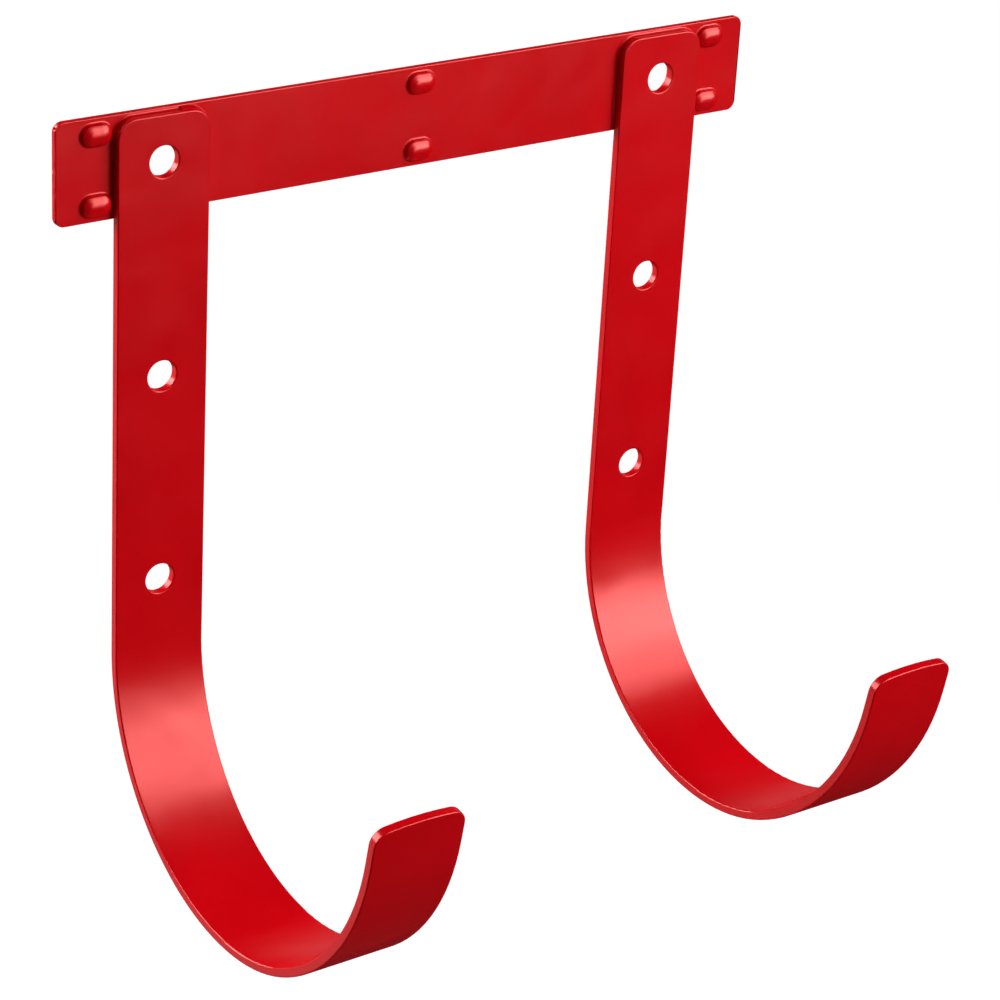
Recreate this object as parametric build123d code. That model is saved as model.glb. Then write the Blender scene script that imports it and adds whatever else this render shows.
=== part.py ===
from build123d import *
import math
import os

# Double wall hook: a flat crossbar with two J-shaped strap hooks welded to its front.
# All lengths are in millimetres and all angles in degrees.
# X runs along the crossbar, Z is up and the hooks reach out towards -Y.
# The origin is the middle of the crossbar's back face, which lies on the wall.

# Crossbar, a pressed strip of sheet
bar_length = 245.0
bar_height = 31.0
bar_thickness = 2.0
bar_corner_radius = 3.0
bar_edge_radius = 0.35

# Pressed bumps, short domed capsules that stiffen the crossbar in upper and lower pairs
bump_length = 9.8
bump_height = 6.6
bump_rise = 2.2
bump_wall_rise = 1.0
bump_wall_draft = 10.0
bump_metal = 1.5
bump_shoulder_radius = 0.9
bump_foot_radius = 0.7
bump_row_spacing = 21.0
bump_to_strap_gap = 0.7

# Hook strap, flat bar bent to a J with two radii
strap_width = 30.0
strap_thickness = 3.0
strap_edge_radius = 0.45
strap_top_radius = 6.0
strap_tip_radius = 5.0
strap_tip_bow = 1.2
strap_to_bar_end = 18.5
strap_top_below_bar_top = 1.2

# Hook profile, measured on the inner face of the strap
leg_length = 167.5
first_bend_radius = 65.5
first_bend_angle = 117.0
second_bend_radius = 80.0
second_bend_angle = 53.0
tip_length = 12.0

# Screw holes, three in each strap, with a wider one in the crossbar behind each top one
hole_diameter = 9.5
hole_edge_radius = 0.5
bar_hole_clearance = 1.5
top_hole_below_strap_top = 14.0
hole_pitch = 66.0
holes_per_strap = 3

# Weld beads: one under the crossbar behind each strap, and a short one that runs along the
# left strap's top and on round its inner corner
weld_bulge = 0.3
lower_weld_length = 22.0
lower_weld_leg = 1.8
top_weld_length = 2.6
top_weld_corner_angle = 60.0
top_weld_up_bar = 0.8
top_weld_along_strap = 1.9

# Places that follow from the sizes above
bar_front = -bar_thickness
bar_bottom = -bar_height / 2
strap_back = bar_front
strap_front = strap_back - strap_thickness
strap_top = bar_height / 2 - strap_top_below_bar_top
bend_start = strap_top - leg_length
hook_side = bar_length / 2 - strap_to_bar_end - strap_width / 2
hook_places = {"left": -hook_side, "right": hook_side}
top_hole = strap_top - top_hole_below_strap_top
hole_heights = [top_hole - row * hole_pitch for row in range(holes_per_strap)]
bump_side = hook_side + strap_width / 2 + bump_to_strap_gap + bump_length / 2
bump_columns = (-bump_side, 0, bump_side)
bump_rows = (-bump_row_spacing / 2, bump_row_spacing / 2)
top_corner_side = hook_places["left"] + strap_width / 2 - strap_top_radius


def hole_cutter(x, z, clearance):
    """A rod along Y that drills one screw hole, wider by the clearance all round."""
    depth = 4 * (bar_thickness + strap_thickness)
    return Pos(x, 0, z) * Rot(90, 0, 0) * Cylinder(hole_diameter / 2 + clearance, depth)


def domed_capsule(x, y, z, shrink):
    """A capsule with steep walls and a domed crown that stands out from the plane at y."""
    half = bump_height / 2 - shrink
    run = (bump_length - bump_height) / 2
    shoulder = (half - bump_wall_rise * math.tan(math.radians(bump_wall_draft)), bump_wall_rise)
    top = (0, bump_rise)
    outline = Line((0, 0), (half, 0)) + Line((half, 0), shoulder) + Line(top, (0, 0))
    outline += TangentArc(top, shoulder, tangent=(1, 0))
    section = make_face(outline)
    corner = section.vertices().sort_by_distance(shoulder)[0]
    section = fillet(corner, bump_shoulder_radius)
    middle = Rot(0, 90, 0) * extrude(section + mirror(section, Plane.YZ), run, both=True)
    end = Pos(-run, 0, 0) * revolve(Rot(0, 90, 0) * section, Axis.Y, 180)
    return Pos(x, y, z) * Rot(180, 0, 0) * (middle + end + mirror(end, Plane.YZ))


def make_crossbar():
    """The sheet crossbar with its pressed bumps and the two top screw holes."""
    plate = Pos(0, bar_front / 2, 0) * Box(bar_length, bar_thickness, bar_height)
    plate = fillet(plate.edges().filter_by(Axis.Y), bar_corner_radius)
    plate = fillet(plate.faces().filter_by(Axis.Y).edges(), bar_edge_radius)
    for x in bump_columns:
        for z in bump_rows:
            plate += domed_capsule(x, bar_front, z, 0)
    front = plate.faces().filter_by(Axis.Y).sort_by(SortBy.AREA)[-2:].sort_by(Axis.Y)[0]
    feet = [edge for wire in front.inner_wires() for edge in wire.edges()]
    plate = fillet(feet, bump_foot_radius)
    for x in bump_columns:
        for z in bump_rows:
            plate -= domed_capsule(x, 0, z, bump_metal)
    for x in hook_places.values():
        plate -= hole_cutter(x, top_hole, bar_hole_clearance)
    return plate


def profile_line(extra):
    """One side of the J from top to tip, lying extra millimetres outside the inner face."""
    leg = Line((strap_front + extra, strap_top), (strap_front + extra, bend_start))
    first = JernArc(leg @ 1, leg % 1, first_bend_radius + extra, -first_bend_angle)
    second = JernArc(first @ 1, first % 1, second_bend_radius + extra, -second_bend_angle)
    tip = PolarLine(second @ 1, tip_length, direction=second % 1)
    return leg, first, second, tip


def outline_edges(faces):
    """The edges of a run of faces that no two of these faces share."""
    edges = [edge for face in faces for edge in face.edges()]
    return [edge for edge in edges if sum(edge.is_same(other) for other in edges) == 1]


def tip_trimmer():
    """What is cut off the strap's square end at the origin to leave it slightly bowed."""
    depth = 2 * strap_thickness
    bow_radius = ((strap_width / 2) ** 2 + strap_tip_bow**2) / (2 * strap_tip_bow)
    round_end = Pos(0, -bow_radius, 0) * Cylinder(bow_radius, depth)
    return Box(2 * strap_width, 4 * strap_tip_bow, depth) - round_end


def make_strap():
    """One J-shaped strap, centred on X, with its screw holes."""
    with BuildSketch(Plane.YZ) as profile:
        with BuildLine():
            inner = profile_line(0)
            outer = profile_line(strap_thickness)
            Line(inner[0] @ 0, outer[0] @ 0)
            Line(inner[-1] @ 1, outer[-1] @ 1)
        make_face()
    tip_middle = Plane.YZ.from_local_coords((inner[-1] @ 1 + outer[-1] @ 1) / 2)
    tip_direction = tip_middle - Plane.YZ.from_local_coords((inner[-1] @ 0 + outer[-1] @ 0) / 2)
    strap = extrude(profile.sketch, strap_width / 2, both=True)
    top_end = strap.faces().sort_by(Axis.Z)[-1]
    strap = fillet(top_end.edges().sort_by(SortBy.LENGTH)[:2], strap_top_radius)
    tip_plane = Plane(tip_middle, x_dir=(1, 0, 0), z_dir=Vector(1, 0, 0).cross(tip_direction))
    strap -= tip_plane * tip_trimmer()
    tip_end = strap.faces().sort_by_distance(tip_middle)[0]
    strap = fillet(tip_end.edges().sort_by(SortBy.LENGTH)[:2], strap_tip_radius)
    smallest_skin = strap_width * tip_length / 2
    skins = [
        face
        for face in strap.faces()
        if face.area > smallest_skin and abs(face.normal_at().X) < 0.5
    ]
    strap = fillet(outline_edges(skins), strap_edge_radius)
    for z in hole_heights:
        strap -= hole_cutter(0, z, 0)
    rims = strap.edges().filter_by(GeomType.CIRCLE)
    rims = rims.filter_by(lambda edge: abs(edge.radius - hole_diameter / 2) < 0.01)
    return fillet(rims, hole_edge_radius)


def weld_section(place, up_bar, down_strap):
    """A bead's section in the corner at (y, z), with a leg on the bar and on the strap."""
    corner = Vector(*place)
    bar_leg = corner + Vector(*up_bar)
    strap_leg = corner + Vector(*down_strap)
    middle = (bar_leg + strap_leg) / 2
    crest = middle + (middle - corner).normalized() * weld_bulge
    with BuildSketch(Plane.YZ) as profile:
        with BuildLine():
            Line(corner, bar_leg)
            ThreePointArc(bar_leg, crest, strap_leg)
            Line(strap_leg, corner)
        make_face()
    return profile.sketch


def make_lower_weld():
    """The straight bead under the crossbar, centred on X."""
    section = weld_section((strap_back, bar_bottom), (lower_weld_leg, 0), (0, -lower_weld_leg))
    return extrude(section, lower_weld_length / 2, both=True)


def make_top_weld():
    """The bead that ends the left strap's top edge and turns with its rounded corner."""
    section = weld_section((bar_front, strap_top), (0, top_weld_up_bar), (-top_weld_along_strap, 0))
    section = Pos(top_corner_side, 0, 0) * section
    straight = extrude(section, top_weld_length, dir=(-1, 0, 0))
    corner_axis = Axis((top_corner_side, 0, strap_top - strap_top_radius), (0, 1, 0))
    return straight + revolve(section, corner_axis, top_weld_corner_angle)


os.makedirs("parts", exist_ok=True)
export_step(make_crossbar(), "parts/crossbar.step")
strap = make_strap()
lower_weld = make_lower_weld()
for side, x in hook_places.items():
    export_step(Pos(x, 0, 0) * strap, f"parts/{side}_hook.step")
    export_step(Pos(x, 0, 0) * lower_weld, f"parts/{side}_weld.step")
export_step(make_top_weld(), "parts/left_top_weld.step")
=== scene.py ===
import math

import bpy
from mathutils import Matrix, Quaternion, Vector


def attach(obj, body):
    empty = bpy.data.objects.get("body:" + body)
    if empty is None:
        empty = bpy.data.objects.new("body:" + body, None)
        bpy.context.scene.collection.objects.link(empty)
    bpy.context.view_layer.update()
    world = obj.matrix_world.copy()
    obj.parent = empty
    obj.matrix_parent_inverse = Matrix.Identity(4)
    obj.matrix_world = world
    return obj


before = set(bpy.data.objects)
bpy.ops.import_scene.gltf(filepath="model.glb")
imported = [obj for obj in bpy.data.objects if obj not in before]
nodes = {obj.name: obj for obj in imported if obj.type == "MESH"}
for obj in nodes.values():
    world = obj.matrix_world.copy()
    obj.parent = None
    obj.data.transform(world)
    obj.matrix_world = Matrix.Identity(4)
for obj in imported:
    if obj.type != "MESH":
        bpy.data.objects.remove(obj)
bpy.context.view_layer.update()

# Double wall hook in gloss red paint, floating over a pale floor under soft studio light.
# All lengths are in metres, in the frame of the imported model: the crossbar's back lies
# at Y = 0, the hooks reach out towards -Y and Z is up.

# The camera looks from the front left and above, as the photograph does
CAMERA_PLACE = Vector((-0.53968, -0.78297, 0.31387))
CAMERA_AZIMUTH = math.radians(-36.51)
CAMERA_ELEVATION = math.radians(24.81)
CAMERA_ROLL = math.radians(3.37)
CAMERA_LENS = 119.53
SENSOR_WIDTH = 36.0
NEAREST_SEEN, FARTHEST_SEEN = 0.05, 50.0

# Places and sizes of the solids that the dressing needs
BAR_END = 0.1225
BAR_FRONT = -0.002
BAR_BOTTOM = -0.0155
BUMP_RISE = 0.0022
CROWN_SLACK = 0.0000005
STRAP_SIDE = 0.089
STRAP_WIDTH = 0.030
STRAP_TOP = 0.0143
STRAP_TOP_RADIUS = 0.006

# The paint that fills the corner round each strap, and the melted edges of the beads
COAT_WIDTH = 0.0006
COAT_DEPTH = 0.0007
COAT_BURIED = 0.0004
COAT_FOOT_GAP = 0.0004
COAT_TURN_STEPS = 8
COAT_HOLLOW_STEPS = 6
MELT_WIDTH = 0.00035
MELT_SEGMENTS = 3

# Gloss red paint. Scales are in cycles a metre, and heights are in metres. The lumps start
# and are at their full height at these distances from the crossbar's ends.
PAINT_RED = (0.595, 0.0012, 0.0050, 1.0)
PAINT_DEEP_RED = (0.535, 0.0008, 0.0040, 1.0)
PAINT_TINT = (1.0, 0.28, 0.26, 1.0)
PAINT_IOR = 1.9
SMOOTHEST, ROUGHEST = 0.22, 0.265
NOISE_LOW, NOISE_HIGH = 0.3, 0.7
CLOUD_SCALE = 28.0
ROUGH_SCALE = 60.0
WAVE_SCALE, WAVE_HEIGHT = 55.0, 0.00032
PEEL_SCALE, PEEL_HEIGHT = 700.0, 0.000014
LUMP_SCALE, LUMP_HEIGHT = 250.0, 0.0016
LUMPS_START, LUMPS_FULL = 0.0006, 0.0001

# Floor and world. Strength 1 is white. The paint mirrors the world only behind the bracket:
# there its glow is full where a direction's Y reaches WORLD_FULL_BACK, and it is gone
# where the direction's Z reaches WORLD_FADED_UP.
FLOOR_LEVEL = -1.5
FLOOR_HALF = 6.0
FLOOR_COLOUR = (0.25, 0.25, 0.25, 1.0)
FLOOR_COLOUR_REFLECTED = (0.01, 0.01, 0.01, 1.0)
FLOOR_REFLECTED = 0.005
WORLD_REFLECTED = 0.15
WORLD_FILL = 0.005
WORLD_FULL_BACK = 0.6
WORLD_FADED_UP = 0.4

# What the lamps face
LIGHT_TARGET = Vector((0.0, -0.06, -0.10))


def make_camera():
    """The photograph's camera, from its place, its direction and its small roll."""
    azimuth, elevation, roll = CAMERA_AZIMUTH, CAMERA_ELEVATION, CAMERA_ROLL
    back = Vector((
        math.sin(azimuth) * math.cos(elevation),
        -math.cos(azimuth) * math.cos(elevation),
        math.sin(elevation),
    ))
    level = Vector((math.cos(azimuth), math.sin(azimuth), 0))
    upright = back.cross(level)
    right = math.cos(roll) * level + math.sin(roll) * upright
    up = math.cos(roll) * upright - math.sin(roll) * level
    data = bpy.data.cameras.new("photo_camera")
    data.lens = CAMERA_LENS
    data.sensor_width = SENSOR_WIDTH
    data.clip_start = NEAREST_SEEN
    data.clip_end = FARTHEST_SEEN
    camera = bpy.data.objects.new("photo_camera", data)
    turn = Matrix((right, up, back)).transposed().to_4x4()
    camera.matrix_world = Matrix.Translation(CAMERA_PLACE) @ turn
    bpy.context.scene.collection.objects.link(camera)
    bpy.context.scene.camera = camera


class Graph:
    """Short calls for building one material or world node by node."""

    def __init__(self, owner):
        owner.use_nodes = True
        self.tree = owner.node_tree
        self.tree.nodes.clear()

    def add(self, kind, sockets=None, **settings):
        """A node of that kind. A socket takes either a value or another node's output."""
        node = self.tree.nodes.new(kind)
        for name, value in settings.items():
            setattr(node, name, value)
        for name, value in (sockets or {}).items():
            self.fill(node.inputs[name], value)
        return node

    def fill(self, socket, value):
        """Gives an input a value, or links another node's output to it."""
        if isinstance(value, bpy.types.NodeSocket):
            self.tree.links.new(value, socket)
        else:
            socket.default_value = value

    def noise(self, place, scale, detail=2.0, roughness=0.5):
        """The value of a noise texture, between 0 and 1."""
        sockets = {"Vector": place, "Scale": scale, "Detail": detail, "Roughness": roughness}
        return self.add("ShaderNodeTexNoise", sockets).outputs["Fac"]

    def math(self, operation, first, second=0.0, clamp=False):
        """One sum on two numbers or outputs."""
        settings = {"operation": operation, "use_clamp": clamp}
        return self.add("ShaderNodeMath", {0: first, 1: second}, **settings).outputs[0]

    def ramp(self, value, low, high, to_low=0.0, to_high=1.0):
        """Value from low to high turned smoothly into to_low to to_high, held at the ends."""
        sockets = {"Value": value, "From Min": low, "From Max": high}
        sockets.update({"To Min": to_low, "To Max": to_high})
        step = self.add("ShaderNodeMapRange", sockets, interpolation_type="SMOOTHSTEP")
        return step.outputs["Result"]

    def mix(self, share, first, second):
        """First fading to second as share goes from 0 to 1."""
        node = self.add("ShaderNodeMix", data_type="RGBA")
        for name, value in (("Factor_Float", share), ("A_Color", first), ("B_Color", second)):
            self.fill(next(s for s in node.inputs if s.identifier == name), value)
        return next(s for s in node.outputs if s.identifier == "Result_Color")


def sheared_end_mask(g, place):
    """1 on the sheared ends of the crossbar, 0 elsewhere."""
    side = g.math("ABSOLUTE", g.add("ShaderNodeSeparateXYZ", {"Vector": place}).outputs["X"])
    return g.ramp(side, BAR_END - LUMPS_START, BAR_END - LUMPS_FULL)


def make_paint():
    """Gloss enamel: faint waves and orange peel, and a lumpy coat where the steel was cut."""
    material = bpy.data.materials.new("gloss_red_paint")
    g = Graph(material)
    place = g.add("ShaderNodeTexCoord").outputs["Object"]
    cloud = g.ramp(g.noise(place, CLOUD_SCALE, 3.0), NOISE_LOW, NOISE_HIGH)
    colour = g.mix(cloud, PAINT_RED, PAINT_DEEP_RED)
    waves = g.math("MULTIPLY", g.noise(place, WAVE_SCALE, 1.0), WAVE_HEIGHT)
    peel = g.math("MULTIPLY", g.noise(place, PEEL_SCALE, 2.0), PEEL_HEIGHT)
    lumps = g.math("MULTIPLY", g.noise(place, LUMP_SCALE, 1.0), LUMP_HEIGHT)
    lumps = g.math("MULTIPLY", lumps, sheared_end_mask(g, place))
    height = g.math("ADD", g.math("ADD", waves, peel), lumps)
    bump = g.add("ShaderNodeBump", {"Strength": 1.0, "Distance": 1.0, "Height": height})
    patches = g.noise(place, ROUGH_SCALE, 2.0)
    rough = g.ramp(patches, NOISE_LOW, NOISE_HIGH, SMOOTHEST, ROUGHEST)
    shader = g.add("ShaderNodeBsdfPrincipled", {
        "Base Color": colour,
        "Roughness": rough,
        "IOR": PAINT_IOR,
        "Specular Tint": PAINT_TINT,
        "Normal": bump.outputs["Normal"],
    })
    g.add("ShaderNodeOutputMaterial", {"Surface": shader.outputs[0]})
    return material


def make_stage():
    """A pale floor well below the bracket, white to the camera and dim in reflections."""
    material = bpy.data.materials.new("pale_floor")
    g = Graph(material)
    path = g.add("ShaderNodeLightPath").outputs
    grey = g.mix(path["Is Glossy Ray"], FLOOR_COLOUR, FLOOR_COLOUR_REFLECTED)
    paint = g.add("ShaderNodeBsdfDiffuse", {"Color": grey})
    direct = g.math("ADD", path["Is Camera Ray"], path["Is Transmission Ray"], clamp=True)
    shown = g.math("ADD", direct, g.math("MULTIPLY", path["Is Glossy Ray"], FLOOR_REFLECTED))
    glow = g.add("ShaderNodeEmission", {"Strength": shown})
    both = g.add("ShaderNodeAddShader", {0: paint.outputs[0], 1: glow.outputs[0]})
    g.add("ShaderNodeOutputMaterial", {"Surface": both.outputs[0]})
    sides = ((-1, -1), (1, -1), (1, 1), (-1, 1))
    corners = [(x * FLOOR_HALF, y * FLOOR_HALF, FLOOR_LEVEL) for x, y in sides]
    mesh = bpy.data.meshes.new("floor")
    mesh.from_pydata(corners, [], [(0, 1, 2, 3)])
    mesh.materials.append(material)
    floor = bpy.data.objects.new("floor", mesh)
    bpy.context.scene.collection.objects.link(floor)


def make_world():
    """White behind the bracket. Reflections show it dimly and a dark room in front of it."""
    world = bpy.data.worlds.new("studio")
    bpy.context.scene.world = world
    g = Graph(world)
    path = g.add("ShaderNodeLightPath").outputs
    way = g.add("ShaderNodeTexCoord").outputs["Generated"]
    split = g.add("ShaderNodeSeparateXYZ", {"Vector": way}).outputs
    back = g.ramp(split["Y"], 0.0, WORLD_FULL_BACK)
    behind = g.math("MULTIPLY", back, g.ramp(split["Z"], 0.0, WORLD_FADED_UP, 1, 0))
    dim = g.math("MULTIPLY", g.math("MULTIPLY", behind, WORLD_REFLECTED), path["Is Glossy Ray"])
    direct = g.math("ADD", path["Is Camera Ray"], path["Is Transmission Ray"], clamp=True)
    fill = g.math("MULTIPLY", path["Is Diffuse Ray"], WORLD_FILL)
    strength = g.math("ADD", g.math("ADD", direct, dim), fill)
    sky = g.add("ShaderNodeBackground", {"Color": (1, 1, 1, 1), "Strength": strength})
    g.add("ShaderNodeOutputWorld", {"Surface": sky.outputs[0]})


def even_crowns(bar):
    """Exact normals along the crowns of the bumps, whose end triangles would show as dots."""
    tree = bpy.data.node_groups.new("even_crowns", "GeometryNodeTree")
    for way in ("INPUT", "OUTPUT"):
        tree.interface.new_socket("Geometry", in_out=way, socket_type="NodeSocketGeometry")
    add, link = tree.nodes.new, tree.links.new
    split, crown = add("ShaderNodeSeparateXYZ"), add("FunctionNodeCompare")
    choice, setter = add("GeometryNodeSwitch"), add("GeometryNodeSetMeshNormal")
    crown.operation = "LESS_THAN"
    crown.inputs["B"].default_value = BAR_FRONT - BUMP_RISE + CROWN_SLACK
    choice.input_type = "VECTOR"
    choice.inputs["True"].default_value = (0, -1, 0)
    setter.mode, setter.domain = "FREE", "CORNER"
    link(add("GeometryNodeInputPosition").outputs["Position"], split.inputs["Vector"])
    link(split.outputs["Y"], crown.inputs["A"])
    link(crown.outputs["Result"], choice.inputs["Switch"])
    link(add("GeometryNodeInputNormal").outputs["Normal"], choice.inputs["False"])
    link(choice.outputs["Output"], setter.inputs["Custom Normal"])
    link(add("NodeGroupInput").outputs["Geometry"], setter.inputs["Mesh"])
    link(setter.outputs["Mesh"], add("NodeGroupOutput").inputs["Geometry"])
    bar.modifiers.new("even_crowns", "NODES").node_group = tree


def arc_points(centre, radius, start, end):
    """Points and outward directions along an arc in the plane of X and Z, angles in degrees."""
    for step in range(COAT_TURN_STEPS + 1):
        angle = math.radians(start + (end - start) * step / COAT_TURN_STEPS)
        away = Vector((math.cos(angle), 0, math.sin(angle)))
        yield Vector((centre[0], 0, centre[1])) + away * radius, away


def coat_path(x):
    """Points and outward directions up one side of the strap at x, over its top and down."""
    half, radius = STRAP_WIDTH / 2, STRAP_TOP_RADIUS
    left, right, shoulder = x - half, x + half, STRAP_TOP - radius
    foot = BAR_BOTTOM + COAT_FOOT_GAP
    yield Vector((left, 0, foot)), Vector((-1, 0, 0))
    yield from arc_points((left + radius, shoulder), radius, 180, 90)
    yield from arc_points((right - radius, shoulder), radius, 90, 0)
    yield Vector((right, 0, foot)), Vector((1, 0, 0))


def coat_section():
    """The coat's section: how far each point lies out from the strap, and its Y."""
    yield -COAT_BURIED, BAR_FRONT + COAT_BURIED
    yield COAT_WIDTH, BAR_FRONT + COAT_BURIED
    for step in range(COAT_HOLLOW_STEPS + 1):
        turn = math.radians(90 * step / COAT_HOLLOW_STEPS)
        yield COAT_WIDTH * (1 - math.sin(turn)), BAR_FRONT - COAT_DEPTH * (1 - math.cos(turn))
    yield -COAT_BURIED, BAR_FRONT - COAT_DEPTH


def coat_fillet(name, x, material):
    """The paint that fills the corner between crossbar and strap, round the strap's top."""
    section = list(coat_section())
    verts, faces, count = [], [], len(section)
    for point, away in coat_path(x):
        verts += [point + away * out + Vector((0, y, 0)) for out, y in section]
    for low in range(0, len(verts) - count, count):
        high = low + count
        for spot in range(count):
            after = (spot + 1) % count
            faces.append((low + spot, low + after, high + after, high + spot))
    faces.append(tuple(range(count)))
    faces.append(tuple(reversed(range(len(verts) - count, len(verts)))))
    mesh = bpy.data.meshes.new(name)
    mesh.from_pydata(verts, [], faces)
    mesh.materials.append(material)
    for face in mesh.polygons:
        face.use_smooth = True
    piece = bpy.data.objects.new(name, mesh)
    bpy.context.scene.collection.objects.link(piece)
    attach(piece, "root")


def melt_edges(bead):
    """Rounds the sharp edges of a weld bead, as paint and melting leave them."""
    melt = bead.modifiers.new("melted_edges", "BEVEL")
    melt.width = MELT_WIDTH
    melt.segments = MELT_SEGMENTS


def softbox(name, azimuth, elevation, distance, width, height, radiance, roll=0.0, seen=True):
    """A rectangular lamp that faces the bracket. Azimuth 0 is straight in front, 90 its right.

    A lamp that isn't seen lights the paint but has no reflection in it.
    """
    azimuth, elevation = math.radians(azimuth), math.radians(elevation)
    away = Vector((
        math.sin(azimuth) * math.cos(elevation),
        -math.cos(azimuth) * math.cos(elevation),
        math.sin(elevation),
    ))
    data = bpy.data.lights.new(name, "AREA")
    data.shape = "RECTANGLE"
    data.size, data.size_y = width, height
    data.energy = radiance * math.pi * width * height
    lamp = bpy.data.objects.new(name, data)
    lamp.location = LIGHT_TARGET + away * distance
    lamp.rotation_mode = "QUATERNION"
    turn = Quaternion((0, 0, 1), math.radians(roll))
    lamp.rotation_quaternion = away.to_track_quat("Z", "Y") @ turn
    lamp.visible_camera = False
    lamp.visible_glossy = seen
    bpy.context.scene.collection.objects.link(lamp)


def light_bracket():
    """All the lamps, each with its azimuth, elevation, distance, width, height and radiance."""
    # A soft key from the front right, whose parts give the bends their graded highlight
    softbox("key_box", 42, 24, 1.3, 1.02, 1.05, 5.2, roll=12)
    softbox("key_core", 42, 18, 1.25, 0.5, 0.5, 2.6)
    softbox("key_foot", 20, 3, 1.2, 0.4, 0.55, 2.5)
    softbox("key_wing", 8, 32, 1.3, 0.5, 0.5, 1.2)
    softbox("key_halo", 42, 22, 1.4, 2.0, 1.9, 0.12)
    # A strong light from behind for the left faces and the hooks' bottoms, and a pale card
    # that the left faces mirror
    softbox("back_box", -130, 26, 1.3, 1.05, 0.82, 9.0)
    softbox("left_card", -143, -25, 1.3, 1.2, 1.0, 0.28)
    # Fills that lift one side each and have no reflection
    softbox("side_fill", 122, 8, 1.3, 0.7, 0.6, 5.0, seen=False)
    softbox("rear_fill", 157, 8, 1.3, 0.6, 0.5, 9.5, seen=False)
    softbox("left_fill", -120, -20, 1.3, 0.6, 0.6, 4.6, seen=False)
    softbox("under_fill", 180, -75, 1.2, 0.8, 0.8, 5.2, seen=False)
    softbox("top_fill", 0, 62, 0.5, 0.3, 0.2, 1.15, seen=False)


def main():
    """Dresses the bracket, sets it over the floor and lights it."""
    paint = make_paint()
    for name, node in nodes.items():
        node.data.materials.clear()
        node.data.materials.append(paint)
        if name.endswith("weld"):
            melt_edges(node)
    even_crowns(nodes["crossbar"])
    for side, x in (("left", -STRAP_SIDE), ("right", STRAP_SIDE)):
        coat_fillet(side + "_strap_coat", x, paint)
    make_stage()
    make_world()
    light_bracket()
    make_camera()
    bpy.context.scene.view_settings.view_transform = "Standard"


main()
